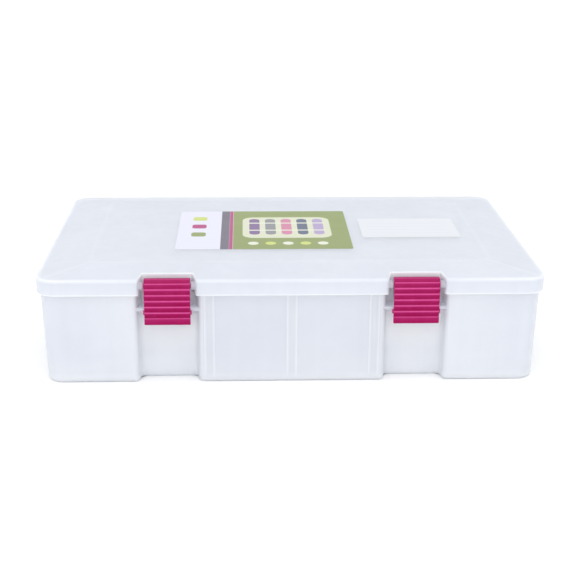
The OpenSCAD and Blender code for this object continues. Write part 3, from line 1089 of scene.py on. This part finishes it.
@dataclass
class Lid:
    """The lid: a skirt, a rounded rim, a sloping border and a flat top, cut by the latch wells.

    The steps are shares of the way up the crown, and several fields hold edge values: the skirt's
    face is clearer, and highlights are painted along the rim's rounding (least and more at its
    middle, less beside the wells), along the crown's ridges at the corners and along the crease
    at the flat.
    """
    well_round: float = 0.8
    soft: float = 0.35
    ledge: float = 4.9
    cut_w: float = 8.8
    cut_z: float = 68.2
    knuckle: float = 24.0
    boss_r: float = 3.0
    boss_near: float = 16.5
    boss_end: float = 19.7
    steps_in: tuple[float, ...] = (1.0, 0.95, 0.9, 0.85, 0.8, 0.55, 0.3, 0.1, 0.0)
    steps_out: tuple[float, ...] = (0.04, 0.15, 0.35, 0.6, 0.8, 0.836, 0.87, 0.9, 0.94, 0.97, 1.0)
    skirt_edge: float = -0.12
    # Painted highlights: along the rim's rounding, calmer beside the wells, along the corner ridges and along
    # the crease.
    rim_highlight: tuple[float, float] = (0.12, 0.6)
    calm: float = 0.3
    ridge_highlight: float = 0.2
    crease_highlight: float = 0.1

    def plan(self) -> Plan:
        """The lid's plan with the cuts in the rear skirt for the base's knuckles.

        Returns:
            The plan.
        """
        rear = []
        for hinge in (1, -1):
            for side in (1, -1):
                mid, cut = hinge * BOX.hinge_x + side * BOX.knuckle_x, self.cut_z - BOX.skirt_z
                for end, drop in ((1, 0.0), (1, cut), (-1, cut), (-1, 0.0)):
                    rear.append(Turn(mid + end * self.cut_w / 2, BOX.lid_d / 2, (0, 1), drop=drop))
        return box_plan(front_turns(1.6, 1.2), [], rear, [])

    @staticmethod
    def rise(t: np.ndarray, low: float, bend: float, drop: float) -> np.ndarray:
        """Height of the crown: straight from its foot to the bend, then eased in as a quarter sine.

        Args:
            t: 0 at the crown's foot and 1 at the flat.
            low: height of the foot.
            bend: the t at which the crease starts.
            drop: how far the flat lies under the lid's top.

        Returns:
            Heights.
        """
        high = BOX.top_z - BOX.crease_drop - drop
        ease = np.sin(np.clip((t - bend) / (1 - bend), 0, 1) * math.pi / 2)
        return low + (high - low) * np.minimum(t / bend, 1) + BOX.crease_drop * ease

    def crown(self, plan: Plan, foot: np.ndarray, inset: float, low: float, drop: float
              ) -> Callable[[float], tuple[np.ndarray, np.ndarray]]:
        """Sets the crown over the outline: each point runs from its foot to its point of the flat's
        outline, and the wells' points start part way up the same slope.

        Args:
            plan: the lid's plan.
            foot: the crown's lowest points as (place, 2).
            inset: where the slope starts inside the rim.
            low: its height there.
            drop: how far the surface lies under the lid's top.

        Returns:
            A function from a share of the way to a ring's points and heights.
        """
        wide_x, wide_y = BOX.border_side + BOX.crease, BOX.border_front + BOX.crease
        flat = plan.rectangle(wide_x, wide_y, BOX.corner_r / 3)
        flat = np.where(plan.well[:, None], np.stack([foot[:, 0], flat[:, 1]], 1), flat)
        line = np.stack([foot[:, 0], np.full(len(foot), BOX.front + inset)], 1)
        start = np.where(plan.well[:, None], line, foot)
        way = flat - start
        begun = np.clip(((foot - start) * way).sum(1) / (way * way).sum(1), 0, 1)
        bend = (wide_y - 2 * BOX.crease - inset) / (wide_y - inset)
        return lambda t: (foot + (flat - foot) * t, self.rise(begun + (1 - begun) * t, low, bend, drop))

    def shell(self, pile: Pile) -> None:
        """Adds the skin, from the underside of the flat out, down the skirt's inside, round its lower
        edge, up its outside, round the rim and up the crown.

        Args:
            pile: what it is added to.
        """
        plan, skin = self.plan(), Levels()
        out = plan.well & (plan.bend > 0)
        walls = plan.well & ~out
        facing = np.clip((-plan.spoke[:, 1] - 0.24) / 0.76, 0, 1)
        share = np.where(plan.well, np.where(out, facing, 0.0), 1.0)
        slim = BOX.lid_t + 0.4
        foot = plan.at(slim + (self.ledge - slim) * share)
        way = self.crown(plan, foot, self.ledge, BOX.seat_z, BOX.lid_t)
        skin.add(plan.heart(), BOX.top_z - BOX.lid_t, 0.0)
        for k in self.steps_in:
            skin.add(*way(k), 0.0)
        foot_z = way(0.0)[1]
        bottom = BOX.skirt_z + plan.drop
        s, t = self.soft, BOX.lid_t
        skin.add(plan.at(t), foot_z - 0.02, 0.0)
        skin.add(plan.at(t), foot_z - 0.6, 0.0)
        arc = [(1 - math.sin(a), 1 - math.cos(a)) for a in (0.0, math.pi / 4, math.pi / 2)]
        # Painted highlight along the skirt's lower edge, round both its faces.
        for a, c in arc[::-1]:
            skin.add(plan.at(t - s * a), bottom + s * c, 0.9)
        for a, c in arc:
            skin.add(plan.at(s * a), bottom + s * c, 1.0)
        # Painted shade lift: the wells' side walls are painted paler and denser, so the gaps beside the
        # latches read lighter.
        face = np.where(walls, 1.0, self.skirt_edge)
        skin.add(plan.at(0.0), bottom + 1.2, face)
        turn_r = self.well_round + (BOX.rim_round - self.well_round) * share
        way = self.crown(plan, plan.at(turn_r), BOX.rim_round, BOX.rim_z, 0.0)
        foot_z = way(0.0)[1]
        skin.add(plan.at(0.0), foot_z - turn_r - 0.9, face)
        # Painted highlight along the rim's rounding, weaker beside the wells.
        calm = np.where(plan.well, self.calm, 1.0)
        least, more = self.rim_highlight
        for k in range(7):
            a = k / 6 * math.pi / 2
            bright = least + more * math.sin(2 * a) ** 2 if k else 0.1
            skin.add(plan.at(turn_r * (1 - math.cos(a))), foot_z - turn_r * (1 - math.sin(a)),
                     np.maximum(bright * calm, face))
        # Painted highlights along the crown's corner ridges and along the crease at the flat.
        ridge = self.ridge_highlight * np.exp(-((plan.part - 0.5) / 0.12) ** 2) * (plan.home != 0).all(1)
        for k in self.steps_out:
            crease = self.crease_highlight * math.exp(-((k - 0.88) / 0.05) ** 2)
            skin.add(*way(k), np.maximum(crease, ridge))
        skin.add(plan.rectangle(60, 50, 3.0), BOX.top_z, 0.0)
        skin.add(plan.heart(), BOX.top_z, 0.0)
        skin.close(pile)

    def bosses(self, pile: Pile) -> None:
        """Adds the bored bosses right beside the latches, from the wells' sides in.

        Args:
            pile: what they are added to.
        """
        centre = (BOX.front + BOX.pivot_y, BOX.pivot_z)
        outer = circle(centre, self.boss_r, 48)
        reach, length = (self.boss_end + self.boss_near) / 2, self.boss_end - self.boss_near
        for side in (-1, 1):
            for end in (-1, 1):
                mid = side * BOX.latch_x + end * reach
                pile.skin(bored(outer, centre, mid, length, 1.55, 0.3), -0.3, tube=True)

    def knuckles(self, pile: Pile) -> None:
        """Adds the bored knuckles, each on a leaf that comes down from the skirt.

        Args:
            pile: what they are added to.
        """
        y, z, r = BOX.hinge_y, BOX.hinge_z, BOX.knuckle_r
        out, high = BOX.lid_d / 2, BOX.skirt_z + 7
        shape = np.array([[out - BOX.lid_t, high], [out - 0.1, high], [y + r - 0.1, z + 0.5], [y, z],
                          [out - BOX.lid_t, z + 1]])
        outer = swept_round((y, z), shape, r)
        for mid in (-BOX.hinge_x, BOX.hinge_x):
            pile.skin(bored(outer, (y, z), mid, self.knuckle), 0.3, tube=True)

    def build(self, finish: Material) -> Piece:
        """Builds the lid.

        Args:
            finish: its plastic.

        Returns:
            The lid.
        """
        pile = Pile()
        self.shell(pile)
        self.bosses(pile)
        self.knuckles(pile)
        return pile.make("lid_moulding", finish, "lid", "lid_plastic", "lid_shell")


@dataclass
class Latch:
    """A snap latch: a ribbed plate that curls back over its pivot, with cheeks, hook and trunnions."""
    side: int
    width: float = 32.0
    plate_t: float = 2.2
    drop: float = 27.2
    lip_angle: float = 50.0
    pitch: float = 4.25
    rib_depth: float = 0.8
    ribs: int = 8
    rib_start: float = 0.45
    hook_h: float = 1.4
    hook_end: float = 0.8
    cheek_t: float = 1.8
    trunnion_r: float = 1.5
    edge_round: float = 0.6
    # Each rib point: share of the pitch, share of the depth and strength of the painted highlight, brightest
    # along the crest.
    rib: tuple[tuple[float, float, float], ...] = (
        (0.0, 0.12, 1.0), (0.06, 0.0, 1.0), (0.16, 0.0, 0.15), (0.32, 0.0, 0.0), (0.42, 0.12, 0.0),
        (0.55, 0.38, 0.0), (0.7, 0.75, 0.0), (0.82, 0.98, 0.0), (0.9, 1.0, 0.0), (0.95, 0.85, 0.6))

    @property
    def arc_r(self) -> float:
        """Radius of the curled top about the pivot."""
        return BOX.pivot_y + BOX.latch_proud

    @property
    def arc_len(self) -> float:
        """Length of the face's arc."""
        return self.arc_r * math.radians(180 - self.lip_angle)

    @property
    def back(self) -> float:
        """The plate's inner face behind the lid's front."""
        return self.plate_t - BOX.latch_proud

    def face(self, s: np.ndarray, depth: np.ndarray) -> np.ndarray:
        """Points of the ribbed face: s runs round the arc by s / r and then straight down.

        Args:
            s: the way along the face from the lip.
            depth: how far under the ribs' crests.

        Returns:
            Points as (place, 2) in y and z.
        """
        a = math.radians(self.lip_angle) + np.minimum(s, self.arc_len) / self.arc_r
        y = BOX.pivot_y + (self.arc_r - depth) * np.cos(a)
        z = BOX.pivot_z + (self.arc_r - depth) * np.sin(a) - np.maximum(s - self.arc_len, 0)
        return np.stack([y, z], 1)

    def section(self) -> tuple[np.ndarray, np.ndarray]:
        """The plate's section: ribs with a flat crest, a soft slope down and a quick step out, then
        a plain band, and a smooth back. Each point of a rib is its share of the pitch, its share of
        the rib's depth and the strength of the highlight painted on it, brightest along each crest.

        Returns:
            The anticlockwise loop in y and z, and how strong a painted highlight each of its points carries.
        """
        end = self.arc_len + self.drop
        share, depth, shine = np.array(self.rib).T
        depth = depth * self.rib_depth
        s = (self.rib_start + (np.arange(self.ribs)[:, None] + share) * self.pitch).reshape(-1)
        band = self.rib_start + self.ribs * self.pitch
        s = np.concatenate([[0.0], s, [band, band + 0.4, end - self.edge_round, end]])
        d = np.concatenate([[self.edge_round], np.tile(depth, self.ribs), [0.1, 0.0, 0.0, self.edge_round]])
        bright = np.concatenate([[0.4], np.tile(shine, self.ribs), [0.9, 0.15, 0.0, 0.4]])
        # Painted light: the plate is painted paler towards its top, as if lit more from above.
        bright = bright + 0.14 * (1 - s / end) ** 2
        outer = self.face(s, d)
        foot = BOX.pivot_z - self.drop
        a = np.radians(np.linspace(180, self.lip_angle, 16))
        r = self.arc_r - self.plate_t
        inner = np.stack([BOX.pivot_y + r * np.cos(a), BOX.pivot_z + r * np.sin(a)], 1)
        rear = np.array([[self.back - self.edge_round, foot], [self.back, foot + self.edge_round]])
        plain = np.full(len(rear) + len(inner), 0.1)
        return np.concatenate([outer, rear, inner]), np.concatenate([bright, plain])

    def build(self, finish: Material) -> Piece:
        """Builds the latch.

        Args:
            finish: its plastic.

        Returns:
            The latch.
        """
        pile = Pile()
        mid, half = self.side * BOX.latch_x, self.width / 2
        py, pz, back, z, c = BOX.pivot_y, BOX.pivot_z, self.back, BOX.catch_z, BOX.catch_r

        def add(loop: np.ndarray, x: float, reach: float, bevel: float, edge: Measure) -> None:
            """Adds a bar that reaches equally far to both sides of x, counted from the latch's middle."""
            pile.skin(bar(loop + (BOX.front, 0.0), mid + x - reach, mid + x + reach, Axis.X, bevel), edge)

        loop, bright = self.section()
        # Painted highlights: the plate's bevelled ends are painted paler, and the cheeks, hook and trunnions
        # a little.
        side = np.full(len(loop), 0.5)
        add(loop, 0.0, half, 0.35, np.stack([side, bright, bright, side]))
        hub = self.arc_r - self.plate_t + 0.2
        leg = np.array([[back - 0.4, pz], [back - 0.4, z + 2 * c], [back, z + 2 * c],
                        [py + hub * 0.87, pz - hub / 2], [py, pz + hub]])
        thick = self.cheek_t / 2
        for x in (thick - half + 0.2, 0.0, half - thick - 0.2):
            add(swept_round((py, pz), leg, hub), x, thick, 0.2, 0.1)
        tip = back + self.hook_h
        hook = np.array([[back - 0.4, z + 0.5], [back - 0.4, z - 2 * c], [tip, z - c - 0.5],
                         [tip, z - c + 0.5]])
        add(hook, 0.0, half + self.hook_end, 0.2, 0.3)
        reach = BOX.well_half - BOX.well_taper * py - 0.12
        add(circle((py, pz), self.trunnion_r, 32), 0.0, reach, 0.3, 0.2)
        name = "left" if self.side < 0 else "right"
        return pile.make(f"snap_latch_{name}", finish, f"{name}_latch", "latch_plastic",
                         f"latch_{name}", 28)


@dataclass
class Dividers:
    """The long divider and the three cross dividers that stand in the slots."""
    corner: float = 3.0
    bevel: float = 0.35

    def plate(self, loop: np.ndarray, mid: float, axis: Axis) -> Pile:
        """Starts a divider with a painted highlight along its chamfers.

        Args:
            loop: its outline.
            mid: its middle along the axis.
            axis: the way it is thick.

        Returns:
            A pile that holds the plate.
        """
        pile, thick = Pile(), BOX.divider_t / 2
        edge = np.array([[0.2], [0.0], [0.0], [0.2]])
        pile.skin(bar(loop, mid - thick, mid + thick, axis, self.bevel), edge)
        return pile

    def long_one(self, finish: Material) -> Piece:
        """Builds the divider across the box, with rib pairs that hold the cross dividers.

        Args:
            finish: its plastic.

        Returns:
            The divider.
        """
        low, top, c = BOX.floor_t, BOX.divider_top, self.corner
        foot, head = (BOX.lid_w / 2 - BOX.lap - BOX.base_t - BOX.lean(z) - BOX.divider_gap
                      for z in (low + c, top))
        a = np.radians(np.linspace(0, 90, 7))
        right = np.stack([low + c * (1 - np.cos(a)), foot - c + c * np.sin(a)], 1)
        left = (right * (1, -1))[::-1]
        mid = BOX.front + BOX.long_y
        pile = self.plate(np.concatenate([right, [[top, head], [top, -head]], left])[::-1], mid, Axis.Y)
        y = mid - BOX.divider_t / 2 - BOX.slot_rib_h / 2 + 0.25
        for x in BOX.slots:
            for near in (x - BOX.rib_x, x + BOX.rib_x):
                rib = rounded_rectangle(near, y, BOX.slot_rib_w, BOX.slot_rib_h + 0.5, 0.4, 4)
                pile.skin(bar(rib, low, top, Axis.Z), -0.6)
        return pile.make("long_partition", finish, "base", "divider_plastic", "long_divider")

    def cross_one(self, name: str, x: float, finish: Material) -> Piece:
        """Builds a divider from the front wall back to the long one.

        Args:
            name: left, middle or right.
            x: its slot.
            finish: its plastic.

        Returns:
            The divider.
        """
        low, top, c = BOX.floor_t, BOX.divider_top, self.corner
        foot, head = (BOX.front + BOX.lap + BOX.base_t + BOX.lean(z) + BOX.divider_gap for z in (low, top))
        far = BOX.front + BOX.long_y - BOX.divider_t / 2 - BOX.divider_gap
        a = np.radians(np.linspace(90, 0, 7))
        curve = np.stack([foot + c * (1 - np.sin(a)), low + c * (1 - np.cos(a))], 1)
        pile = self.plate(np.concatenate([curve, [[far, low], [far, top], [head, top]]]), x, Axis.X)
        return pile.make(f"cross_partition_{name}", finish, "base", "divider_plastic",
                         f"cross_divider_{name}")

    def build(self, finish: Material) -> None:
        """Builds all four dividers.

        Args:
            finish: their plastic.
        """
        self.long_one(finish)
        for name, x in zip(("left", "middle", "right"), BOX.slots):
            self.cross_one(name, x, finish)


@dataclass
class TopSheets:
    """The printed label and the blank sticker on the lid's flat top."""
    label: tuple[float, float, float, float] = (-18.5, 110.0, 131.0, 105.0)
    sticker: tuple[float, float, float, float] = (94.0, 113.0, 75.0, 52.0)
    thick: float = 0.2

    def sheet(self, name: str, spot: tuple[float, float, float, float], r: float,
              finish: Material, slot: str, node: str) -> Piece:
        """Builds a thin sheet with rounded corners.

        Args:
            name: the piece's name.
            spot: middle x, distance behind the front, width and depth.
            r: corner radius.
            finish: its material.
            slot: the record's slot.
            node: the node that it stands for.

        Returns:
            The sheet.
        """
        x, y, w, d = spot
        pile = Pile()
        loop = rounded_rectangle(x, BOX.front + y, w, d, r)
        rings = bar(loop, BOX.top_z, BOX.top_z + self.thick, Axis.Z, 0.06)
        pile.skin(rings, np.array([[0.0], [1.0], [1.0], [0.0]]))
        return pile.make(name, finish, "lid", slot, node)

    def build(self) -> None:
        """Builds both sheets."""
        x, y, w, _ = self.label
        film = PrintedFilm("label_print", x, BOX.front + y, w).material()
        paper = PaperSticker("sticker_paper", self.sticker[0], BOX.front + self.sticker[1]).material()
        self.sheet("label_sheet", self.label, 2.0, film, "label_film", "top_label")
        self.sheet("sticker_sheet", self.sticker, 1.5, paper, "sticker_film", "plain_sticker")


@dataclass
class HingePins:
    """The wire pins through the knuckles."""
    radius: float = 1.0
    length: float = 40.8

    def build(self, finish: Material) -> None:
        """Builds both pins as bevelled rods.

        Args:
            finish: their steel.
        """
        loop = circle((BOX.hinge_y, BOX.hinge_z), self.radius, 32)
        for name, mid in (("left", -BOX.hinge_x), ("right", BOX.hinge_x)):
            pile = Pile()
            pile.skin(bar(loop, mid - self.length / 2, mid + self.length / 2, Axis.X, 0.2))
            pile.make(f"hinge_wire_{name}", finish, "base", "pin_steel", f"hinge_pin_{name}")


@dataclass
class Studio:
    """Floor, light and camera. A lamp is its name, rotation in degrees, strength and width in degrees."""
    world: float = 0.87
    floor_size: float = 40.0
    lamps: tuple[tuple[str, tuple[float, float, float], float, float], ...] = (
        ("key", (26, 0, 4), 0.74, 50), ("fill", (50, -35, -20), 0.2, 80), ("front", (78, 0, 2), 0.27, 60))
    eye: tuple[float, float, float] = (-0.03176, -0.90556, 0.34031)
    pitch: float = 18.857
    yaw: float = 2.175
    roll: float = 0.369
    lens: float = 75.08

    def floor(self) -> None:
        """A pale floor that takes shadows."""
        mesh = bpy.data.meshes.new("floor")
        h = self.floor_size / 2
        mesh.from_pydata([(-h, -h, 0), (h, -h, 0), (h, h, 0), (-h, h, 0)], [], [(0, 1, 2, 3)])
        b = Board.material("studio_floor")
        mesh.materials.append(b.surface({"Base Color": (1.0, 1.0, 1.0, 1.0), "Specular IOR Level": 0.0,
                                         "Roughness": 0.9 + b.noise(3) * 0.05}))
        floor = bpy.data.objects.new("floor", mesh)
        bpy.context.scene.collection.objects.link(floor)

    def sky(self) -> None:
        """A world that lights softly from all sides and is white to the camera."""
        world = bpy.data.worlds.new("studio")
        bpy.context.scene.world = world
        b = Board(world, "ShaderNodeOutputWorld")
        seen, glossy, passed = (b.add("ShaderNodeLightPath", out=f"Is {kind} Ray")
                                for kind in ("Camera", "Glossy", "Transmission"))
        strength = seen.top(glossy).top(passed) * (1 - self.world) + self.world
        b.end(b.add("ShaderNodeBackground", None, {"Color": (1, 1, 1, 1), "Strength": strength}))

    def light(self) -> None:
        """Broad sun lamps."""
        for name, turn, strength, width in self.lamps:
            data = bpy.data.lights.new(name, "SUN")
            data.energy, data.angle = strength, math.radians(width)
            lamp = bpy.data.objects.new(name, data)
            lamp.rotation_euler = [math.radians(v) for v in turn]
            bpy.context.scene.collection.objects.link(lamp)

    def camera(self) -> None:
        """The camera, turned by pitch and yaw and then rolled about the way it looks."""
        data = bpy.data.cameras.new("view")
        data.lens, data.sensor_width = self.lens, 36.0
        camera = bpy.data.objects.new("view", data)
        pitch, yaw, roll = (math.radians(v) for v in (self.pitch, self.yaw, self.roll))
        ahead = np.array([math.sin(yaw) * math.cos(pitch), math.cos(yaw) * math.cos(pitch), -math.sin(pitch)])
        level = np.array([math.cos(yaw), -math.sin(yaw), 0.0])
        over = np.cross(level, ahead)
        right = math.cos(roll) * level + math.sin(roll) * over
        stance = Matrix(np.stack([right, np.cross(right, ahead), -ahead], 1).tolist()).to_4x4()
        camera.matrix_world = Matrix.Translation(self.eye) @ stance
        bpy.context.scene.collection.objects.link(camera)
        bpy.context.scene.camera = camera

    def build(self) -> None:
        """Sets up the studio."""
        self.floor()
        self.sky()
        self.light()
        self.camera()
        bpy.context.scene.view_settings.view_transform = "Standard"


def main() -> None:
    """Builds the box piece by piece, then the studio."""
    logging.basicConfig(level=logging.INFO, format="%(message)s")
    finishes = Finishes()
    Tray().build(finishes.base)
    Lid().build(finishes.lid)
    Dividers().build(finishes.divider)
    Latch(-1).build(finishes.latch)
    Latch(1).build(finishes.latch)
    HingePins().build(finishes.steel)
    TopSheets().build()
    Studio().build()


if __name__ == "__main__":
    main()
